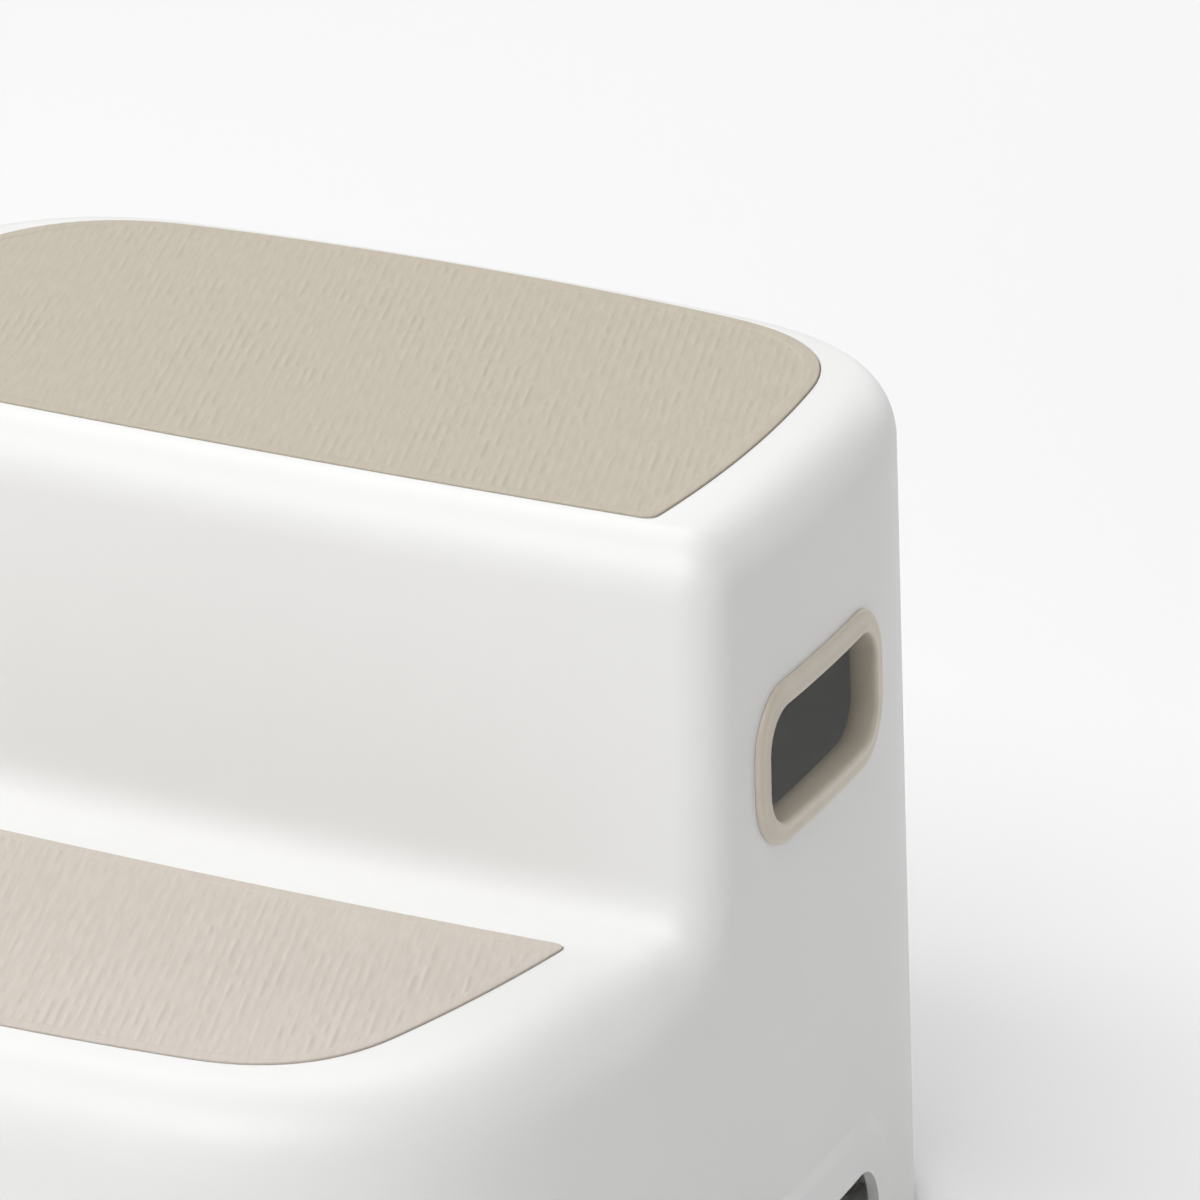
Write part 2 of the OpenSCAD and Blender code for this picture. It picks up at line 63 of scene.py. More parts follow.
# Overall form
PAD_PROUD = 0.6
RIM_GAP = shell_low[2]
TOP_H = shell_high[2]
LOW_H = lower_high[2] - PAD_PROUD
POCKET_FLOOR = TOP_H - upper_low[2]
BODY_W = 370.0
BODY_D = 370.0
DRAFT = 0.032
WALL = 3.5
WIDEST_Y = -25.0
FRONT_TAPER, BACK_TAPER = 16.0, 28.0
FRONT_BOW, BACK_BOW = 15.0, 14.0
FRONT_CORNER, BACK_CORNER = 77.0, 61.0

# Stair profile and the rounding of its rim
RISER_Y, RISER_BOW, RISER_LEAN = -20.0, 5.0, 0.045
NOSE_R, COVE_R = 17.5, 16.0
EDGE_FRONT, EDGE_LOW, EDGE_RISER, EDGE_TOP, EDGE_BACK = 23.0, 27.0, 13.5, 18.5, 11.5

# Pads: front width, back width, front middle, back middle, front bow, back bow, side bow, corners
UPPER_PAD = (313.5, 270.5, RISER_Y + 18.5, BODY_D / 2 - 11.5, 3.5, 11.5, 6.0, 4.0, 40.5)
LOW_K = 1 + DRAFT * (TOP_H - LOW_H) / (BODY_W / 2)
LOWER_PAD = (264.0, 303.5, -LOW_K * BODY_D / 2 + 28.0,
             RISER_Y - RISER_LEAN * (TOP_H - LOW_H) - 18.0, 12.5, -5.0, 3.0, 33.0, 4.0)
PAD_GAP = 0.3

# Carrying holes and rings
HOLE_Y, HOLE_Z = (ring_low[1] + ring_high[1]) / 2, (ring_low[2] + ring_high[2]) / 2
RING_L, RING_H, RING_R = ring_high[1] - ring_low[1], ring_high[2] - ring_low[2], 19.0
FLANGE_W, FLANGE_H = 7.0, 2.4
SLEEVE_T, SLEEVE_D, RING_GAP = 2.0, 7.0, 0.3

# Side arches and the raised band round them
ARCH_Y, ARCH_L, ARCH_H, ARCH_R = 0.0, 182.0, 40.5, 16.0
BAND_W, BAND_H, BAND_SLOPE = 12.5, 2.0, 4.2

# Underside
RIB_T, RIB_UP, RIB_LOW, RIB_RISER = 2.4, 12.0, 12.0, 10.0
RIB_PITCH_X, RIB_PITCH_Y = 109.0, 64.0
POST_X, POST_Y = (foot_low[0] + foot_high[0]) / 2, -(foot_low[1] + foot_high[1]) / 2
POST_D, POST_H = 24.0, 34.0
STEM_D, STEM_GAP = 12.0, 0.25
FOOT_D = foot_high[0] - foot_low[0]


# Small helpers

def unit(v):
    return v / np.linalg.norm(v, axis=-1, keepdims=True)


def lerp(a, b, t):
    return a + (b - a) * t


def ease(t):
    t = np.clip(t, 0, 1)
    return t * t * (3 - 2 * t)


def turned(a, b, t):
    """Directions that turn evenly from a to b."""
    whole = np.arccos(np.clip((a * b).sum(-1, keepdims=True), -1, 1))
    return (np.sin((1 - t) * whole) * a + np.sin(t * whole) * b) / np.sin(whole)


def meeting(a, da, b, db):
    k = ((b[0] - a[0]) * db[1] - (b[1] - a[1]) * db[0]) / (da[0] * db[1] - da[1] * db[0])
    return a + k * da


def bend(a, c, b, t):
    """Curve from a to b whose ends point at c, and its direction."""
    t = np.asarray(t, float)[..., None]
    point = (1 - t) ** 2 * a + 2 * t * (1 - t) * c + t ** 2 * b
    return point, (1 - t) * (c - a) + t * (b - c)


# Plan outline of the shell

def enlarged(z):
    return 1 + DRAFT * (TOP_H - z) / (BODY_W / 2)


def taper(y):
    front = FRONT_TAPER / (-BODY_D / 2 - WIDEST_Y) ** 2
    back = BACK_TAPER / (BODY_D / 2 - WIDEST_Y) ** 2
    return np.where(np.asarray(y) < WIDEST_Y, front, back)


def side_x(y):
    return BODY_W / 2 - taper(y) * (y - WIDEST_Y) ** 2


def side_normal(y):
    y = np.asarray(y, float)
    return unit(np.stack([np.ones_like(y), 2 * taper(y) * (y - WIDEST_Y)], -1))


def wall_x(y, z):
    return enlarged(z) * side_x(y / enlarged(z))


def leaning(n):
    return unit(np.concatenate([n, np.full(n.shape[:-1] + (1,), DRAFT)], -1))


def end_line(x, edge_y, bow, half):
    """Front or back line of the plan, and the outward normal on it. A front has a negative edge_y."""
    out = math.copysign(1, edge_y)
    x = np.asarray(x, float)
    point = np.stack([x, edge_y - out * bow * (x / half) ** 2], -1)
    normal = unit(np.stack([2 * bow * x / half ** 2, np.full_like(x, out)], -1))
    return point, normal


FRONT_HALF = float(side_x(-BODY_D / 2 + FRONT_BOW))
BACK_HALF = float(side_x(BODY_D / 2 - BACK_BOW))


def along(n):
    return np.array([-n[1], n[0]])


front_a, front_an = end_line(FRONT_HALF - FRONT_CORNER, -BODY_D / 2, FRONT_BOW, FRONT_HALF)
front_b_y = -BODY_D / 2 + FRONT_BOW + FRONT_CORNER
front_b = np.array([float(side_x(front_b_y)), front_b_y])
front_c = meeting(front_a, along(front_an), front_b, along(side_normal(front_b_y)))
back_a_y = BODY_D / 2 - BACK_BOW - BACK_CORNER
back_a = np.array([float(side_x(back_a_y)), back_a_y])
back_b, back_bn = end_line(BACK_HALF - BACK_CORNER, BODY_D / 2, BACK_BOW, BACK_HALF)
back_c = meeting(back_a, along(side_normal(back_a_y)), back_b, along(back_bn))

# Stair profile beside the side walls
RISER_ANGLE = math.pi / 2 - math.atan(RISER_LEAN)
riser_dir = np.array([0, -math.sin(RISER_ANGLE), math.cos(RISER_ANGLE)])


def riser_at(z):
    return RISER_Y + RISER_BOW - RISER_LEAN * (TOP_H - z)


NOSE_Z = TOP_H - NOSE_R
NOSE_Y = riser_at(NOSE_Z + NOSE_R * riser_dir[2]) - NOSE_R * riser_dir[1]
COVE_Z = LOW_H + COVE_R
COVE_Y = riser_at(COVE_Z - COVE_R * riser_dir[2]) + COVE_R * riser_dir[1]
COVE_HI = COVE_Z - COVE_R * riser_dir[2]
NOSE_LO = NOSE_Z + NOSE_R * riser_dir[2]
EDGE_NOSE = min(EDGE_TOP, NOSE_R - 0.5)
FOOT_FROM = (riser_at(COVE_HI) + EDGE_RISER) / enlarged(COVE_HI)


def turn_dirs(angle):
    angle = np.asarray(angle, float)
    return np.stack([np.zeros_like(angle), -np.sin(angle), np.cos(angle)], -1)


class Rim:
    """Right half of the rim: sharp edge point, wall normal, tread normal, rounding and foot of the wall.

    foot is nan where the wall runs straight down."""

    def __init__(self, fine):
        self.steps = {name: max(2, round(n * fine)) for name, n in dict(
            edge=34, corner=40, low=36, cove=18, riser=24, nose=24, top=44).items()}
        s = self.steps
        parts = [self.front(s["edge"]), self.front_corner(s["corner"]), self.low_side(s["low"]),
                 self.cove(s["cove"]), self.riser(s["riser"]), self.nose(s["nose"]),
                 self.top_side(s["top"]), self.back_corner(s["corner"]), self.back(s["edge"])]
        self.point, self.wall, self.tread, self.radius, self.foot = (
            np.concatenate([np.asarray(p[k], float) for p in parts]) for k in range(5))
        self.cove_i = s["edge"] + s["corner"] + s["low"]
        self.nose_i = self.cove_i + s["cove"] + s["riser"] + s["nose"]
        self.last = len(self.point) - 1

    def edge_rows(self, plan, normal, z, radius):
        plan = np.atleast_2d(plan) * enlarged(z)
        n = len(plan)
        point = np.column_stack([plan, np.full(n, z)])
        return point, leaning(np.atleast_2d(normal)), np.tile([0.0, 0, 1], (n, 1)), \
            np.broadcast_to(radius, n), np.full(n, np.nan)

    def side_rows(self, y, z, direction, radius, foot):
        y, z = np.broadcast_arrays(np.asarray(y, float), np.asarray(z, float))
        point = np.stack([wall_x(y, z), y, z], -1)
        wall = leaning(side_normal(y / enlarged(z)))
        return point, wall, np.broadcast_to(direction, point.shape), np.broadcast_to(radius, y.shape), foot

    def front(self, n):
        plan, normal = end_line(front_a[0] * np.arange(n) / n, -BODY_D / 2, FRONT_BOW, FRONT_HALF)
        return self.edge_rows(plan, normal, LOW_H, EDGE_FRONT)

    def corner_rows(self, a, c, b, n, z, radius_from, radius_to, first):
        t = np.arange(first, n + 1) / n
        plan, d = bend(a, c, b, t)
        return self.edge_rows(plan, unit(np.stack([d[:, 1], -d[:, 0]], -1)), z,
                              lerp(radius_from, radius_to, ease(t)))

    def front_corner(self, n):
        return self.corner_rows(front_a, front_c, front_b, n, LOW_H, EDGE_FRONT, EDGE_LOW, 0)

    def low_side(self, n):
        t = np.arange(1, n + 1) / n
        y = lerp(LOW_K * front_b[1], COVE_Y, t)
        radius = lerp(EDGE_LOW, (EDGE_LOW + EDGE_RISER) / 2, ease(t * 2 - 1))
        return self.side_rows(y, LOW_H, [0.0, 0, 1], radius, y / LOW_K)

    def cove(self, n):
        t = np.arange(1, n + 1) / n
        d = turn_dirs(RISER_ANGLE * t)
        y = COVE_Y - COVE_R * d[:, 1]
        z = COVE_Z - COVE_R * d[:, 2]
        radius = lerp((EDGE_LOW + EDGE_RISER) / 2, EDGE_RISER, ease(t))
        return self.side_rows(y, z, d, radius, (y - radius * d[:, 1]) / enlarged(z))

    def feet(self, first, n):
        whole = self.steps["riser"] + self.steps["nose"] + self.steps["top"]
        return lerp(FOOT_FROM, back_a[1], (first + np.arange(1, n + 1)) / whole)

    def riser(self, n):
        z = lerp(COVE_HI, NOSE_LO, np.arange(1, n + 1) / n)
        return self.side_rows(riser_at(z), z, riser_dir, EDGE_RISER, self.feet(0, n))

    def nose(self, n):
        t = np.arange(1, n + 1) / n
        d = turn_dirs(RISER_ANGLE * (1 - t))
        return self.side_rows(NOSE_Y + NOSE_R * d[:, 1], NOSE_Z + NOSE_R * d[:, 2], d,
                              lerp(EDGE_RISER, EDGE_NOSE, t), self.feet(self.steps["riser"], n))

    def top_side(self, n):
        t = np.arange(1, n + 1) / n
        radius = lerp(EDGE_NOSE, EDGE_TOP, ease(t * 1.5))
        return self.side_rows(lerp(NOSE_Y, back_a[1], t), TOP_H, [0.0, 0, 1], radius,
                              self.feet(self.steps["riser"] + self.steps["nose"], n))

    def back_corner(self, n):
        return self.corner_rows(back_a, back_c, back_b, n, TOP_H, EDGE_TOP, EDGE_BACK, 1)

    def back(self, n):
        x = back_b[0] * (1 - np.arange(1, n + 1) / n)
        plan, normal = end_line(x, BODY_D / 2, BACK_BOW, BACK_HALF)
        return self.edge_rows(plan, normal, TOP_H, EDGE_BACK)

    def rim_row(self, t, inset):
        n = turned(self.wall, self.tread, t)
        across = 1 + (self.wall * self.tread).sum(-1, keepdims=True)
        radius = self.radius[:, None]
        point = self.point - radius * (self.wall + self.tread) / across + radius * n
        if t == 0:
            free = ~np.isnan(self.foot)
            point[free, 0] = wall_x(point[free, 1], point[free, 2])
        return point - inset * n

    def wall_row(self, t, inset, bottom):
        top = self.rim_row(0, 0)
        z = lerp(top[:, 2], bottom, t)
        k, k_top = enlarged(z), enlarged(top[:, 2])
        straight = np.column_stack([top[:, 0] * k / k_top, top[:, 1] * k / k_top, z]) - inset * self.wall
        y = lerp(top[:, 1] / k_top, self.foot, t)
        free = ~np.isnan(y)
        y = np.where(free, y, 0)
        moving = np.column_stack([k * side_x(y), k * y, z]) - inset * leaning(side_normal(y))
        return np.where(free[:, None], moving, straight)

    def whole(self, row):
        return np.concatenate([row, row[self.last - 1:0:-1] * [-1, 1, 1]])


def new_object(name, verts, faces):
    """Mesh object from points in millimetres."""
    mesh = bpy.data.meshes.new(name)
    mesh.from_pydata((np.asarray(verts) * MM).tolist(), [], [list(map(int, f)) for f in faces])
    mesh.validate()
    obj = bpy.data.objects.new(name, mesh)
    bpy.context.scene.collection.objects.link(obj)
    return obj


def outward(obj):
    """Turns all faces of a closed mesh outwards."""
    bm = bmesh.new()
    bm.from_mesh(obj.data)
    bmesh.ops.recalc_face_normals(bm, faces=bm.faces)
    bm.to_mesh(obj.data)
    bm.free()
    return obj


def grid_faces(rows, columns, closed):
    """Quads between rows of columns points each, running round when closed."""
    r, c = np.meshgrid(np.arange(rows - 1), np.arange(columns - (0 if closed else 1)), indexing="ij")
    a = r * columns + c
    b = r * columns + (c + 1) % columns
    return np.stack([a, b, b + columns, a + columns], -1).reshape(-1, 4)


def stair_solid(name, inset, bottom, fine, round_steps, wall_rows):
    """Closed solid of the stair's form, set in from the outside and cut off at the bottom."""
    rim = Rim(fine)
    rows = [rim.whole(rim.rim_row(1 - j / round_steps, inset)) for j in range(round_steps + 1)]
    rows += [rim.whole(rim.wall_row(j / wall_rows, inset, bottom)) for j in range(1, wall_rows + 1)]
    loop_n = len(rows[0])
    faces = grid_faces(len(rows), loop_n, True).tolist()
    cross_steps = max(6, round(60 * fine))
    share = 1 - 2 * np.arange(1, cross_steps) / cross_steps
    strip = rows[0][rim.cove_i:rim.nose_i + 1]
    inner = np.stack([strip[:, None, 0] * share,
                      strip[:, None, 1] - RISER_BOW * (1 - share ** 2) + 0 * share,
                      strip[:, None, 2] + 0 * share], -1)
    grid_at = len(rows) * loop_n
    cross_n = cross_steps - 1

    def across(i, j):
        if j == 0:
            return i
        return loop_n - i if j == cross_steps else grid_at + (i - rim.cove_i) * cross_n + j - 1

    for i in range(rim.cove_i, rim.nose_i):
        for j in range(cross_steps):
            faces.append([across(i, j), across(i, j + 1), across(i + 1, j + 1), across(i + 1, j)])
    low_edge = [*range(rim.cove_i + 1), *(across(rim.cove_i, j) for j in range(1, cross_steps)),
                *range(loop_n - rim.cove_i, loop_n)]
    top_edge = [*range(rim.nose_i, loop_n - rim.nose_i + 1),
                *(across(rim.nose_i, j) for j in range(cross_steps - 1, 0, -1))]
    base = [(len(rows) - 1) * loop_n + i for i in range(loop_n)]
    faces += [low_edge[::-1], top_edge[::-1], base]
    return outward(new_object(name, np.concatenate(rows + [inner.reshape(-1, 3)]), faces))


def prism(name, outline, axis, low, high):
    """Solid between two planes across an axis. The outline's points are the other two coordinates."""
    outline = np.asarray(outline, float)
    n = len(outline)
    columns = {"x": (1, 2, 0), "z": (0, 1, 2)}[axis]
    verts = np.zeros((2 * n, 3))
    for k, level in enumerate((low, high)):
        verts[k * n:(k + 1) * n, columns[0]] = outline[:, 0]
        verts[k * n:(k + 1) * n, columns[1]] = outline[:, 1]
        verts[k * n:(k + 1) * n, columns[2]] = level
    faces = grid_faces(2, n, True).tolist() + [list(range(n))[::-1], list(range(n, 2 * n))]
    return new_object(name, verts, faces)


def cylinder_at(name, x, y, diameter, low, high, sides=64):
    angle = 2 * math.pi * np.arange(sides) / sides
    ring = np.stack([x + diameter / 2 * np.cos(angle), y + diameter / 2 * np.sin(angle)], -1)
    return prism(name, ring, "z", low, high)


def cut(target, operation, tools, keep_tools=False):
    """Joins, cuts or keeps the shared volume of target and each tool, and applies it."""
    for tool in tools:
        modifier = target.modifiers.new("cut", "BOOLEAN")
        modifier.operation = operation
        modifier.solver = "MANIFOLD"
        modifier.object = tool
        graph = bpy.context.evaluated_depsgraph_get()
        mesh = bpy.data.meshes.new_from_object(target.evaluated_get(graph))
        target.modifiers.clear()
        target.data = mesh
        if not keep_tools:
            bpy.data.objects.remove(tool)
    return target


def corner_arcs(middle_y, middle_z, half_y, half_z, radius, outwards, steps):
    """Rounded rectangle round a middle, moved outwards, as [y, z] points."""
    points = []
    for sy, sz, start in ((1, 1, 0), (-1, 1, 90), (-1, -1, 180), (1, -1, 270)):
        for i in range(steps + 1):
            a = math.radians(start + 90 * i / steps)
            points.append([middle_y + sy * (half_y - radius) + (radius + outwards) * math.cos(a),
                           middle_z + sz * (half_z - radius) + (radius + outwards) * math.sin(a)])
    return points


def wall_sweep(name, path, radius, section, closed):
    """Solid that follows a path on the right side wall. A path entry is [y, z, direction in degrees],
    and a section's point is [distance outwards from the path, height above the wall]."""
    path = np.asarray(path, float)
    section = np.asarray(section, float)
    angle = np.radians(path[:, 2])[:, None]
    y = path[:, 0][:, None] + (radius + section[:, 0]) * np.cos(angle)
    z = path[:, 1][:, None] + (radius + section[:, 0]) * np.sin(angle)
    verts = np.stack([wall_x(y, z) + section[:, 1], y, z], -1).reshape(-1, 3)
    n, m = len(path), len(section)
    columns = grid_faces(n + (1 if closed else 0), m, True)
    faces = (columns % (n * m)).tolist()
    if not closed:
        faces += [list(range(m)), list(range((n - 1) * m, n * m))]
    return outward(new_object(name, verts, faces))


def arc_path(c, start, end, n):
    return [[c[0], c[1], lerp(start, end, i / n)] for i in range(n + 1)]


def line_path(a, b, direction, n):
    return [[lerp(a[0], b[0], i / n), lerp(a[1], b[1], i / n), direction] for i in range(1, n)]


def mirror_copy(obj, name):
    copy = obj.copy()
    copy.data = obj.data.copy()
    copy.name = name
    copy.data.transform(Matrix.Diagonal((-1, 1, 1, 1)))
    copy.data.flip_normals()
    bpy.context.scene.collection.objects.link(copy)
    return copy


# Normals: a cut mesh takes the smooth normals of the surfaces that it was cut from

class SmoothSource:
    """Triangles of a mesh with a smooth normal at each corner."""

    def __init__(self, obj, angle):
        mesh = obj.data
        mesh.shade_smooth()
        mesh.set_sharp_from_angle(angle=math.radians(angle))
        mesh.calc_loop_triangles()
        count = len(mesh.loop_triangles)
        loops, verts = np.zeros(count * 3, int), np.zeros(count * 3, int)
        mesh.loop_triangles.foreach_get("loops", loops)
        mesh.loop_triangles.foreach_get("vertices", verts)
        corner = np.zeros(len(mesh.loops) * 3)
        mesh.corner_normals.foreach_get("vector", corner)
        self.normals = corner.reshape(-1, 3)[loops].reshape(-1, 3, 3)
        points = np.zeros(len(mesh.vertices) * 3)
        mesh.vertices.foreach_get("co", points)
        self.points = points.reshape(-1, 3)
        self.triangles = verts.reshape(-1, 3)
        self.tree = BVHTree.FromPolygons(self.points.tolist(), self.triangles.tolist())

    def normal_at(self, place, index):
        a, b, c = self.points[self.triangles[index]]
        v0, v1, v2 = b - a, c - a, np.array(place) - a
        d00, d01, d11, d20, d21 = v0 @ v0, v0 @ v1, v1 @ v1, v2 @ v0, v2 @ v1
        whole = d00 * d11 - d01 * d01
        v = min(1, max(0, (d11 * d20 - d01 * d21) / whole)) if whole else 0
        w = min(1 - v, max(0, (d00 * d21 - d01 * d20) / whole)) if whole else 0
        n = self.normals[index]
        return (1 - v - w) * n[0] + v * n[1] + w * n[2]


def inherit_normals(obj, sources):
    """Gives each corner of obj the normal of the source surface that its face lies on."""
    mesh = obj.data
    mesh.shade_smooth()
    found = np.zeros((len(mesh.loops), 3))
    nudge = 0.02 * MM
    for face in mesh.polygons:
        centre, out = face.center, np.array(face.normal)
        hits = [s.tree.find_nearest(centre) for s in sources]
        best = min(range(len(sources)), key=lambda k: hits[k][3])
        source = sources[best]
        for loop in face.loop_indices:
            corner = mesh.vertices[mesh.loops[loop].vertex_index].co
            step = centre - corner
            near = corner + step * min(1, nudge / max(step.length, 1e-12))
            place, _, index, _ = source.tree.find_nearest(near)
            n = source.normal_at(place, index)
            found[loop] = n if n @ out > 0 else -n
    mesh.normals_split_custom_set(unit(found + 1e-12).tolist())


# Shell

def pad_outline(pad, grow, steps=40, corner_steps=14):
    """Outline of a pad, grown outwards, as [x, y] points running round."""
    wf, wb, yf, yb, bf, bb, bs, cf, cb = pad
    wf, wb, yf, yb, cf, cb = wf + 2 * grow, wb + 2 * grow, yf - grow, yb + grow, cf + grow, cb + grow
    depth = yb - bb - yf - bf
    tiny = 0.001

    def front(x):
        return np.array([x, yf + bf * (2 * x / wf) ** 2])

    def back(x):
        return np.array([x, yb - bb * (2 * x / wb) ** 2])

    def side(t):
        return np.array([lerp(wf, wb, t) / 2 + bs * 4 * t * (1 - t), lerp(yf + bf, yb - bb, t)])

    fx, bx = wf / 2 - cf, wb / 2 - cb
    start, end = cf / depth, 1 - cb / depth
    a, b, c, d = front(fx), side(start), side(end), back(bx)
    turn = np.arange(corner_steps + 1) / corner_steps
    corner_1 = bend(a, meeting(a, a - front(fx - tiny), b, side(start + tiny) - b), b, turn)[0]
    corner_2 = bend(c, meeting(c, side(end + tiny) - c, d, d - back(bx - tiny)), d, turn)[0]
    half = np.concatenate([[front(fx * i / steps) for i in range(steps)], corner_1,
                           [side(lerp(start, end, i / steps)) for i in range(1, steps)], corner_2,
                           [back(bx * (1 - i / steps)) for i in range(1, steps + 1)]])
    return np.concatenate([half, half[-2:0:-1] * [-1, 1]])


def hole_cutters():
    """Tools that cut the carrying holes and the arches through both side walls."""
    outline = corner_arcs(HOLE_Y, HOLE_Z, RING_L / 2, RING_H / 2, RING_R,
                          SLEEVE_T - FLANGE_W + RING_GAP, 24)
    arch = corner_arcs(ARCH_Y, 0, ARCH_L / 2, ARCH_H, ARCH_R, 0, 20)
    arch = [p for p in arch if p[1] > 0] + [[ARCH_Y - ARCH_L / 2, -RIM_GAP], [ARCH_Y + ARCH_L / 2, -RIM_GAP]]
    tools = []
    for side in (1, -1):
        low, high = sorted((side * BODY_W / 4, side * BODY_W * 0.75))
        tools.append(prism("hole_cut", outline, "x", low, high))
        tools.append(prism("arch_cut", arch, "x", low, high))
    return tools


def band_path():
    """Path round the arch, up the back side and down the front side."""
    back_y, front_y = ARCH_Y + ARCH_L / 2 - ARCH_R, ARCH_Y - ARCH_L / 2 + ARCH_R
    up = ARCH_H - ARCH_R
    path = [[back_y, RIM_GAP, 0]] + line_path([back_y, RIM_GAP], [back_y, up], 0, 12) \
        + arc_path([back_y, up], 0, 90, 19) + line_path([back_y, up], [front_y, up], 90, 60) \
        + arc_path([front_y, up], 90, 180, 19) + line_path([front_y, up], [front_y, RIM_GAP], 180, 12) \
        + [[front_y, RIM_GAP, 180]]
    return path


def band_slope(height):
    t = np.linspace(0, 1, 14)
    return np.stack([BAND_W + BAND_SLOPE * t, height * (1 - ease(t))], -1)


def band_solid(name):
    """Raised band round the arch, with a soft foot and soft edges."""
    slope = band_slope(BAND_H)
    foot = [[BAND_W + BAND_SLOPE + 0.5, -0.05], [BAND_W + BAND_SLOPE + 0.5, -WALL / 2]]
    section = [[-WALL / 2, -WALL / 2], [-WALL / 2, BAND_H], [1.0, BAND_H], [4.0, BAND_H], [8.0, BAND_H]]
    return wall_sweep(name, band_path(), ARCH_R, section + slope.tolist() + foot, False)


def band_recess(name):
    """Hollow behind the band, so that the wall keeps its thickness there."""
    slope = band_slope(BAND_H) - [0, WALL]
    deep = -WALL - 1.5
    section = [[-WALL / 2, deep], [-WALL / 2, BAND_H - WALL], [4.0, BAND_H - WALL]]
    path = [[p[0], p[1], p[2]] for p in band_path()]
    path[0][1] = path[-1][1] = RIM_GAP - 2
    return wall_sweep(name, path, ARCH_R, section + slope.tolist() + [[slope[-1, 0], deep]], False)


def underside_solids():
    """Ribs under both treads and behind the riser, and posts for the feet with their webs."""
    behind, far = RISER_Y + RIB_RISER, BODY_W
    low_z, up_z = LOW_H - RIB_LOW, TOP_H - RIB_UP
    solids = []
    for i in (-0.5, 0.5):
        side = [[-far, low_z], [behind, low_z], [behind, up_z], [far, up_z], [far, TOP_H], [-far, TOP_H]]
        solids.append(prism("rib", side, "x", i * RIB_PITCH_X - RIB_T / 2, i * RIB_PITCH_X + RIB_T / 2))
    for i in (-2.5, -1.5, -0.5, 0.5, 1.5, 2.5):
        y = i * RIB_PITCH_Y
        plan = [[-far, y - RIB_T / 2], [far, y - RIB_T / 2], [far, y + RIB_T / 2], [-far, y + RIB_T / 2]]
        solids.append(prism("rib", plan, "z", low_z if y < behind else up_z, TOP_H))
    web = 2 * POST_D
    for x in (-POST_X, POST_X):
        for y in (-POST_Y, POST_Y):
            out_x, out_y = x + math.copysign(web, x), y + math.copysign(web, y)
            solids.append(cylinder_at("post", x, y, POST_D, RIM_GAP, RIM_GAP + POST_H))
            for plan in ([[min(x, out_x), y - RIB_T / 2], [max(x, out_x), y - RIB_T / 2],
                          [max(x, out_x), y + RIB_T / 2], [min(x, out_x), y + RIB_T / 2]],
                         [[x - RIB_T / 2, min(y, out_y)], [x + RIB_T / 2, min(y, out_y)],
                          [x + RIB_T / 2, max(y, out_y)], [x - RIB_T / 2, max(y, out_y)]]):
                solids.append(prism("web", plan, "z", RIM_GAP, RIM_GAP + POST_H))
    return solids


def make_shell():
    outer = stair_solid("shell", 0, RIM_GAP, 1.0, 14, 26)
    inner = stair_solid("inner", WALL, RIM_GAP - WALL, 0.45, 6, 10)
    middle = stair_solid("middle", WALL / 2, RIM_GAP, 0.3, 4, 6)
    band_right = band_solid("band_right")
    bands = [band_right, mirror_copy(band_right, "band_left")]
    recess_right = band_recess("recess_right")
    recesses = [recess_right, mirror_copy(recess_right, "recess_left")]
    holes = hole_cutters()
    pockets = [prism("pocket", pad_outline(pad, PAD_GAP), "z", tread - POCKET_FLOOR, tread + POCKET_FLOOR)
               for pad, tread in ((UPPER_PAD, TOP_H), (LOWER_PAD, LOW_H))]
    bores = [cylinder_at("bore", x, y, STEM_D + 2 * STEM_GAP, 0, RIM_GAP + foot_high[2] + 1)
             for x in (-POST_X, POST_X) for y in (-POST_Y, POST_Y)]
    ribs = underside_solids()
    sources = [SmoothSource(outer, 40), SmoothSource(inner, 40)]
    sources += [SmoothSource(o, 50) for o in bands + recesses]
    sources += [SmoothSource(o, 30) for o in holes + pockets + bores + ribs]
    cut(outer, "DIFFERENCE", [inner] + recesses)
    frame_work = ribs[0]
    cut(frame_work, "UNION", ribs[1:])
    cut(frame_work, "INTERSECT", [middle])
    cut(outer, "UNION", [frame_work] + bands)
    cut(outer, "DIFFERENCE", pockets + holes + bores)
    inherit_normals(outer, sources)
    return outer


# Tread pads

STREAK_TILT = math.radians(21.5)
STREAK_PITCH = 3.1
STROKE_STEP = 1.5
RIDGE_PLACE = np.array([0, 0.7, 1.1, 1.5, 1.9, 2.3])
RIDGE_HEIGHT = np.array([0, 0.05, 0.75, 1, 0.75, 0.05])
FIELD_DEPTH = 0.35
BORDER_W = 4.0
BORDER_R = 0.5


def stroke_row(chance, count):
    """Heights along one row: strokes of uneven length and strength, with short gaps between them."""
    heights = [0.0] * int(chance.integers(1, 8))
    while len(heights) < count:
        strength = chance.uniform(0.25, 1)
        heights += [0.55 * strength] + [strength] * int(chance.integers(4, 12)) + [0.5 * strength]
        heights += [0.0] * int(chance.integers(1, 4))
    return heights[:count]


def patches(x, y):
    """Slow change of the strokes' strength over a pad."""
    return np.clip(0.68 + 0.4 * np.sin(x / 23 + 1.3 * np.sin(y / 17)) * np.cos(y / 19 + x / 41), 0.25, 1)


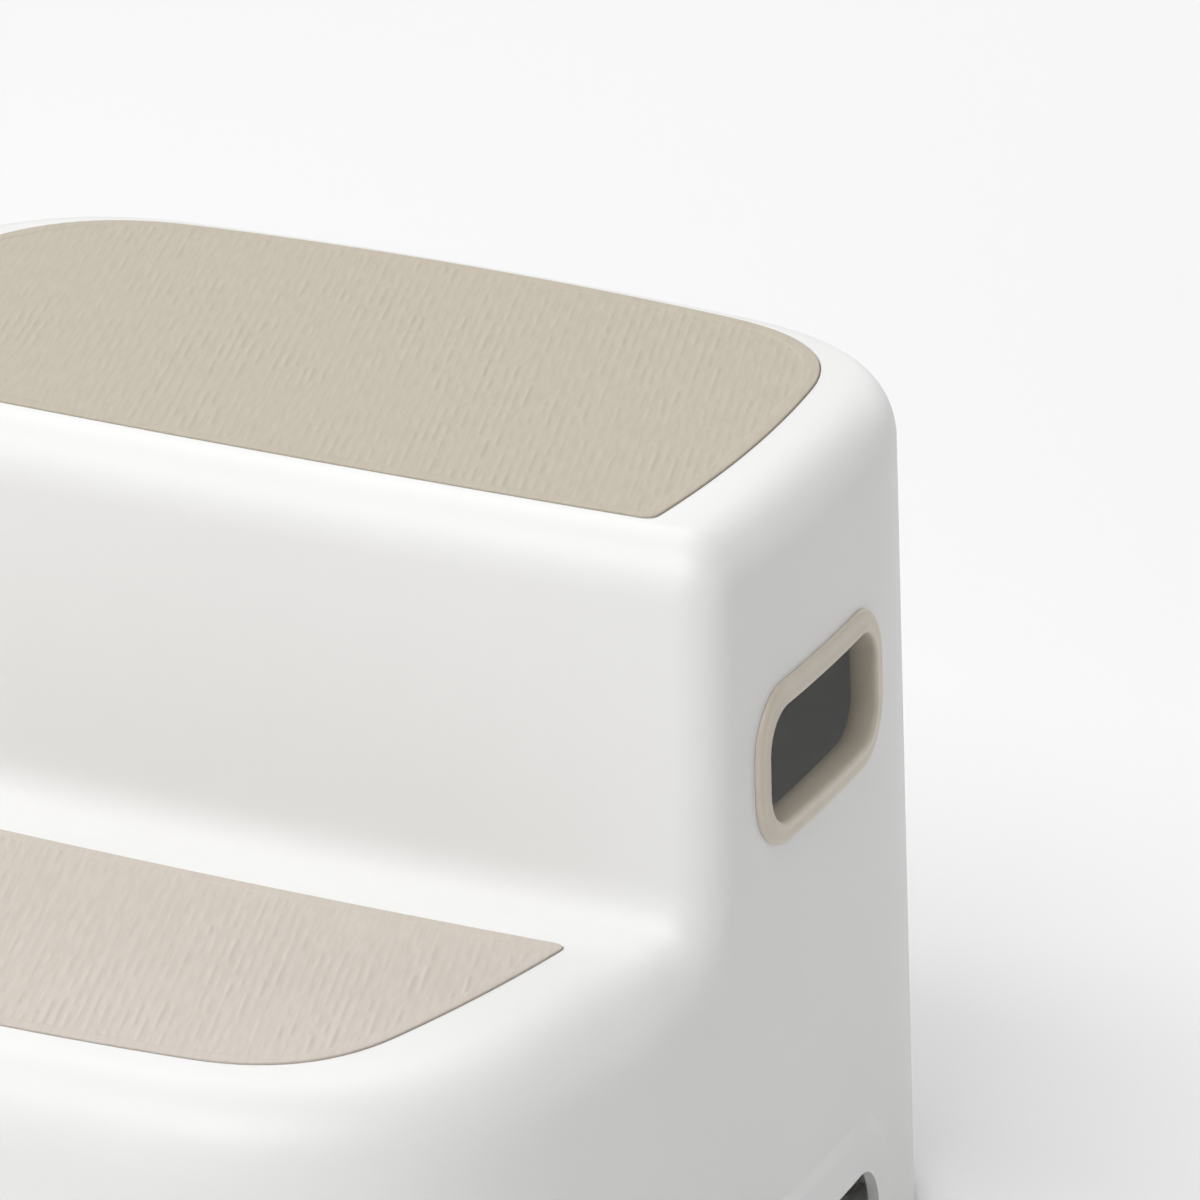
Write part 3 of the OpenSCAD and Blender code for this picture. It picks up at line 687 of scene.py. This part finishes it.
def streak_field(pad, floor_z, seed):
    """Slab whose top carries slanting rows of narrow raised strokes, over the whole of a pad."""
    chance = np.random.default_rng(seed)
    reach_x, low_y, high_y = max(pad[0], pad[1]) / 2 + 8, pad[2] - 2, pad[3] + 2
    slant = math.tan(STREAK_TILT)
    n_rows = int((2 * reach_x + (high_y - low_y) * slant) * math.cos(STREAK_TILT) / STREAK_PITCH)
    along_n = int((high_y - low_y) / math.cos(STREAK_TILT) / STROKE_STEP) + 1
    shape = np.array([stroke_row(chance, along_n + 1) for _ in range(n_rows)])
    shift = chance.uniform(-0.3, 0.3, n_rows)
    across = (np.arange(n_rows) * STREAK_PITCH + shift)[:, None] + RIDGE_PLACE[None, :]
    across = across.reshape(-1)
    height = (shape[:, None, :] * RIDGE_HEIGHT[None, :, None]).reshape(len(across), along_n + 1)
    y = low_y + np.arange(along_n + 1) * STROKE_STEP * math.cos(STREAK_TILT)
    x = -reach_x + across[:, None] / math.cos(STREAK_TILT) - (y - low_y)[None, :] * slant
    z = floor_z + (FIELD_DEPTH - 0.05) * height * patches(x, y[None, :])
    top = np.stack([x, np.broadcast_to(y, x.shape), z], -1).reshape(-1, 3)
    rows, columns = x.shape
    faces = grid_faces(rows, columns, False).tolist()
    edge = [*range(columns), *(r * columns + columns - 1 for r in range(1, rows)),
            *((rows - 1) * columns + c for c in range(columns - 2, -1, -1)),
            *(r * columns for r in range(rows - 2, 0, -1))]
    skirt = top[edge].copy()
    skirt[:, 2] = floor_z - 0.5
    n, at = len(edge), len(top)
    for k in range(n):
        faces.append([edge[(k + 1) % n], edge[k], at + k, at + (k + 1) % n])
    faces.append([at + k for k in range(n)])
    return outward(new_object("streaks", np.concatenate([top, skirt]), faces))


def make_pad(name, pad, tread, seed):
    """Soft pad: smooth border with a rounded edge, and a sunk field with the rows of strokes."""
    top = tread + PAD_PROUD
    floor_z = top - FIELD_DEPTH
    turn = np.linspace(0, math.pi / 2, 6)
    levels = [(0.0, tread - POCKET_FLOOR)]
    levels += [(-BORDER_R * (1 - math.cos(a)), top - BORDER_R * (1 - math.sin(a))) for a in turn]
    levels += [(-BORDER_W, top), (-BORDER_W - 0.25, top - 0.06), (-BORDER_W - 0.7, floor_z)]
    outlines = [pad_outline(pad, grow) for grow, _ in levels]
    n = len(outlines[0])
    verts = np.concatenate([np.column_stack([o, np.full(n, z)]) for o, (_, z) in zip(outlines, levels)])
    faces = grid_faces(len(levels), n, True).tolist()
    faces += [list(range(n))[::-1], [(len(levels) - 1) * n + i for i in range(n)]]
    body = new_object(name, verts, faces)
    streaks = streak_field(pad, floor_z + 0.02, seed)
    field = prism("field", pad_outline(pad, -BORDER_W - 0.4), "z", floor_z - 0.3, top + 1)
    cut(streaks, "INTERSECT", [field])
    cut(body, "UNION", [streaks])
    body.data.shade_smooth()
    body.data.set_sharp_from_angle(angle=math.radians(45))
    return body


# Rings and feet

def make_ring(name):
    half_y, half_z = RING_L / 2 - RING_R, RING_H / 2 - RING_R
    c = [(HOLE_Y + half_y, HOLE_Z + half_z), (HOLE_Y - half_y, HOLE_Z + half_z),
         (HOLE_Y - half_y, HOLE_Z - half_z), (HOLE_Y + half_y, HOLE_Z - half_z)]
    path = []
    for k in range(4):
        path += arc_path(c[k], 90 * k, 90 * k + 90, 20)
        path += line_path(c[k], c[(k + 1) % 4], 90 * k + 90, 24 if k % 2 == 0 else 5)
    flange = [[0, 0.3], [-0.12, 0.85], [-0.45, 1.4], [-0.95, 1.8], [-1.6, 1.97], [-2.4, 1.96], [-3.3, 1.9],
              [-4.1, 1.93], [-4.8, 2.12], [-5.4, FLANGE_H - 0.06], [-5.9, FLANGE_H], [-6.4, FLANGE_H - 0.16],
              [-6.75, FLANGE_H - 0.55], [-6.93, FLANGE_H - 1.2], [-FLANGE_W, 0.3]]
    out = SLEEVE_T - FLANGE_W
    section = [[-0.6, RING_GAP], [-0.15, 0.05], *flange, [-FLANGE_W, -1.0], [-FLANGE_W, -4.0],
               [-FLANGE_W, -SLEEVE_D + 0.4], [-FLANGE_W + 0.4, -SLEEVE_D], [out - 0.3, -SLEEVE_D],
               [out + 1, -WALL - RING_GAP - 1.2], [out + 1, -WALL - RING_GAP - 0.5],
               [out, -WALL - RING_GAP], [out, RING_GAP]]
    ring = wall_sweep(name, path, RING_R, section, True)
    ring.data.shade_smooth()
    ring.data.set_sharp_from_angle(angle=math.radians(50))
    return ring


def make_foot(name, x, y):
    """Turned foot: rounded head with a shallow grooved sole, and a stem."""
    head, soft = FOOT_D / 2, 0.9
    turn = np.linspace(0, math.pi / 2, 7)
    profile = [[0, 0.5], [4, 0.5], [4.4, 0.1], [5.2, 0], [7.0, 0], [7.4, 0.5], [8.4, 0.5], [8.8, 0.0]]
    profile += [[head - soft + soft * math.sin(a), soft - soft * math.cos(a)] for a in turn]
    profile += [[head, RIM_GAP], [STEM_D / 2, RIM_GAP], [STEM_D / 2, foot_high[2] - 1],
                [STEM_D / 2 - 1, foot_high[2]], [0, foot_high[2]]]
    sides = 96
    angle = 2 * math.pi * np.arange(sides) / sides
    rings = [[[x + r * math.cos(a), y + r * math.sin(a), z] for a in angle] for r, z in profile[1:-1]]
    verts = np.concatenate(rings + [[[x, y, profile[0][1]], [x, y, profile[-1][1]]]])
    n_rings = len(rings)
    faces = grid_faces(n_rings, sides, True).tolist()
    for k in range(sides):
        faces.append([(k + 1) % sides, k, n_rings * sides])
        faces.append([(n_rings - 1) * sides + k, (n_rings - 1) * sides + (k + 1) % sides, n_rings * sides + 1])
    foot = new_object(name, verts, faces)
    foot.data.shade_smooth()
    foot.data.set_sharp_from_angle(angle=math.radians(35))
    return foot


# Materials

def start_material(name, colour, roughness):
    """Material with its Principled shader, and a function that adds linked nodes."""
    material = bpy.data.materials.new(name)
    material.use_nodes = True
    nodes, links = material.node_tree.nodes, material.node_tree.links
    shader = nodes["Principled BSDF"]
    shader.inputs["Base Color"].default_value = (*colour, 1)
    shader.inputs["Roughness"].default_value = roughness

    def add(kind, inputs=None, **settings):
        node = nodes.new(kind)
        for key, value in settings.items():
            setattr(node, key, value)
        for key, value in (inputs or {}).items():
            if isinstance(value, bpy.types.NodeSocket):
                links.new(value, node.inputs[key])
            else:
                node.inputs[key].default_value = value
        return node

    return material, shader, links, add


def noise_height(add, place, scale, detail):
    return add("ShaderNodeTexNoise", {"Vector": place, "Scale": scale, "Detail": detail}).outputs["Fac"]


def tinted(add, factor, dark, light):
    ramp = add("ShaderNodeValToRGB", {"Fac": factor})
    ramp.color_ramp.elements[0].position = 0.3
    ramp.color_ramp.elements[0].color = (*dark, 1)
    ramp.color_ramp.elements[1].position = 0.7
    ramp.color_ramp.elements[1].color = (*light, 1)
    return ramp.outputs["Color"]


def shell_material():
    """White moulded plastic with a fine satin grain."""
    material, shader, links, add = start_material("shell_plastic", (0.88, 0.88, 0.87), 0.42)
    place = add("ShaderNodeTexCoord").outputs["Object"]
    tint = tinted(add, noise_height(add, place, 9, 3), (0.872, 0.872, 0.862), (0.888, 0.888, 0.880))
    links.new(tint, shader.inputs["Base Color"])
    soft_edge = add("ShaderNodeBevel", {"Radius": 0.5 * MM}, samples=6)
    grain = add("ShaderNodeBump", {"Strength": 0.12, "Distance": 0.05 * MM,
                                   "Height": noise_height(add, place, 2600, 2),
                                   "Normal": soft_edge.outputs["Normal"]})
    links.new(grain.outputs["Normal"], shader.inputs["Normal"])
    rough = add("ShaderNodeMapRange", {"Value": noise_height(add, place, 40, 2),
                                       "To Min": 0.38, "To Max": 0.48})
    links.new(rough.outputs["Result"], shader.inputs["Roughness"])
    return material


def soft_material(name, dark, light, roughness, grain_scale, grain, streaky=False):
    """Soft rubbery plastic with a fine matt grain, which may run in streaks, and an uneven colour."""
    material, shader, links, add = start_material(name, light, roughness)
    place = add("ShaderNodeTexCoord").outputs["Object"]
    height = noise_height(add, place, grain_scale, 3)
    shade = noise_height(add, place, 60, 6)
    if streaky:
        drawn_out = add("ShaderNodeMapping", {"Vector": place, "Rotation": (0, 0, STREAK_TILT),
                                              "Scale": (1, 9, 1)}, vector_type="TEXTURE")
        streaks = noise_height(add, drawn_out.outputs["Vector"], 750, 2)
        height = add("ShaderNodeMath", {0: height, 1: streaks}, operation="ADD").outputs["Value"]
        shade = streaks
    links.new(tinted(add, shade, dark, light), shader.inputs["Base Color"])
    bump = add("ShaderNodeBump", {"Strength": grain, "Distance": 0.1 * MM, "Height": height})
    links.new(bump.outputs["Normal"], shader.inputs["Normal"])
    return material


def floor_material():
    material, shader, links, add = start_material("floor", (0.95, 0.95, 0.95), 0.9)
    return material


def dress(obj, material, slot_name, *nodes):
    """The piece takes its material, stands for its CAD nodes and rides on the one body."""
    obj.data.materials.clear()
    obj.data.materials.append(material)
    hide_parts(*nodes)
    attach(obj, "root")


# Camera and light

CAMERA_AZIMUTH, CAMERA_ELEVATION = math.radians(28.597), math.radians(20.742)
CAMERA_DISTANCE = 2.167
CAMERA_AIM = (0.0904, 0.0933, 0.1987)
FOCAL_PIXELS, FRAME_PIXELS, SENSOR = 7330.8, 1200.0, 36.0


def make_camera():
    a, e = CAMERA_AZIMUTH, CAMERA_ELEVATION
    right = Vector((math.cos(a), math.sin(a), 0))
    back = Vector((math.sin(a) * math.cos(e), -math.cos(a) * math.cos(e), math.sin(e)))
    up = back.cross(right)
    data = bpy.data.cameras.new("camera")
    data.sensor_width = SENSOR
    data.lens = SENSOR * FOCAL_PIXELS / FRAME_PIXELS
    data.clip_end = 50
    camera = bpy.data.objects.new("camera", data)
    bpy.context.scene.collection.objects.link(camera)
    turn = Matrix((right, up, back)).transposed().to_4x4()
    camera.matrix_world = Matrix.Translation(Vector(CAMERA_AIM) + back * CAMERA_DISTANCE) @ turn
    bpy.context.scene.camera = camera


def area_light(name, place, aim, size, power):
    data = bpy.data.lights.new(name, "AREA")
    data.shape = "SQUARE"
    data.size = size
    data.energy = power
    light = bpy.data.objects.new(name, data)
    light.location = place
    light.rotation_euler = (Vector(aim) - Vector(place)).to_track_quat("-Z", "Y").to_euler()
    bpy.context.scene.collection.objects.link(light)


def make_set():
    size = 14
    floor = new_object("floor", np.array([[-size, -size, 0], [size, -size, 0], [size, size, 0],
                                          [-size, size, 0]]) / MM, [[0, 1, 2, 3]])
    floor.data.materials.append(floor_material())
    world = bpy.data.worlds.new("world")
    world.use_nodes = True
    sky = world.node_tree.nodes["Background"]
    sky.inputs["Color"].default_value = (1, 1, 1, 1)
    sky.inputs["Strength"].default_value = 0.14
    bpy.context.scene.world = world
    middle = (0, 0, 0.15)
    area_light("top_front", (0, -1.6, 2.6), middle, 1.8, 47)
    area_light("left", (-2.6, -0.6, 1.8), middle, 1.6, 31.5)
    area_light("front", (0.2, -3.0, 0.5), middle, 1.2, 4)
    area_light("over_right", (1.4, -1.0, 2.6), middle, 1.4, 11)
    area_light("back_right", (1.7, 2.5, 0.7), middle, 1.2, 7)
    area_light("over_back", (-0.2, 1.4, 2.2), (-0.2, 1.4, 0), 1.8, 11)
    area_light("back_left", (-1.6, 2.0, 2.2), middle, 1.6, 16)
    area_light("back", (-0.3, 3.0, 0.9), middle, 1.4, 10.5)
    bpy.context.scene.view_settings.view_transform = "Standard"


# The stool

shell_plastic = shell_material()
# Both pads are one and the same rubber. The upper pad's darker colour is painted shade, and the lower pad's
# lighter, bluer colour is painted light, standing in for how light falls on the two treads.
upper_rubber_painted_shade = soft_material("upper_pad_rubber_painted_shade", (0.505, 0.455, 0.370), (0.550, 0.495, 0.407), 0.75, 900, 0.4, True)
lower_rubber_painted_light = soft_material("lower_pad_rubber_painted_light", (0.598, 0.539, 0.480), (0.646, 0.584, 0.525), 0.75, 900, 0.4, True)
ring_rubber = soft_material("ring_rubber", (0.66, 0.592, 0.495), (0.70, 0.63, 0.53), 0.36, 1500, 0.12)
foot_rubber = soft_material("foot_rubber", (0.36, 0.33, 0.29), (0.40, 0.37, 0.33), 0.8, 900, 0.3)

make_camera()
make_set()
dress(make_shell(), shell_plastic, "shell", "body_shell")
dress(make_pad("upper_pad", UPPER_PAD, TOP_H, 3), upper_rubber_painted_shade, "tread_pad", "upper_tread_pad")
dress(make_pad("lower_pad", LOWER_PAD, LOW_H, 8), lower_rubber_painted_light, "tread_pad", "lower_tread_pad")
ring_right = make_ring("ring_right")
dress(mirror_copy(ring_right, "ring_left"), ring_rubber, "grip_ring", "grip_ring_left")
dress(ring_right, ring_rubber, "grip_ring", "grip_ring_right")
for side_x_name, foot_x in (("right", POST_X), ("left", -POST_X)):
    for side_y_name, foot_y in (("front", -POST_Y), ("back", POST_Y)):
        name = f"foot_{side_y_name}_{side_x_name}"
        dress(make_foot("sole_" + name, foot_x, foot_y), foot_rubber, "foot", name)
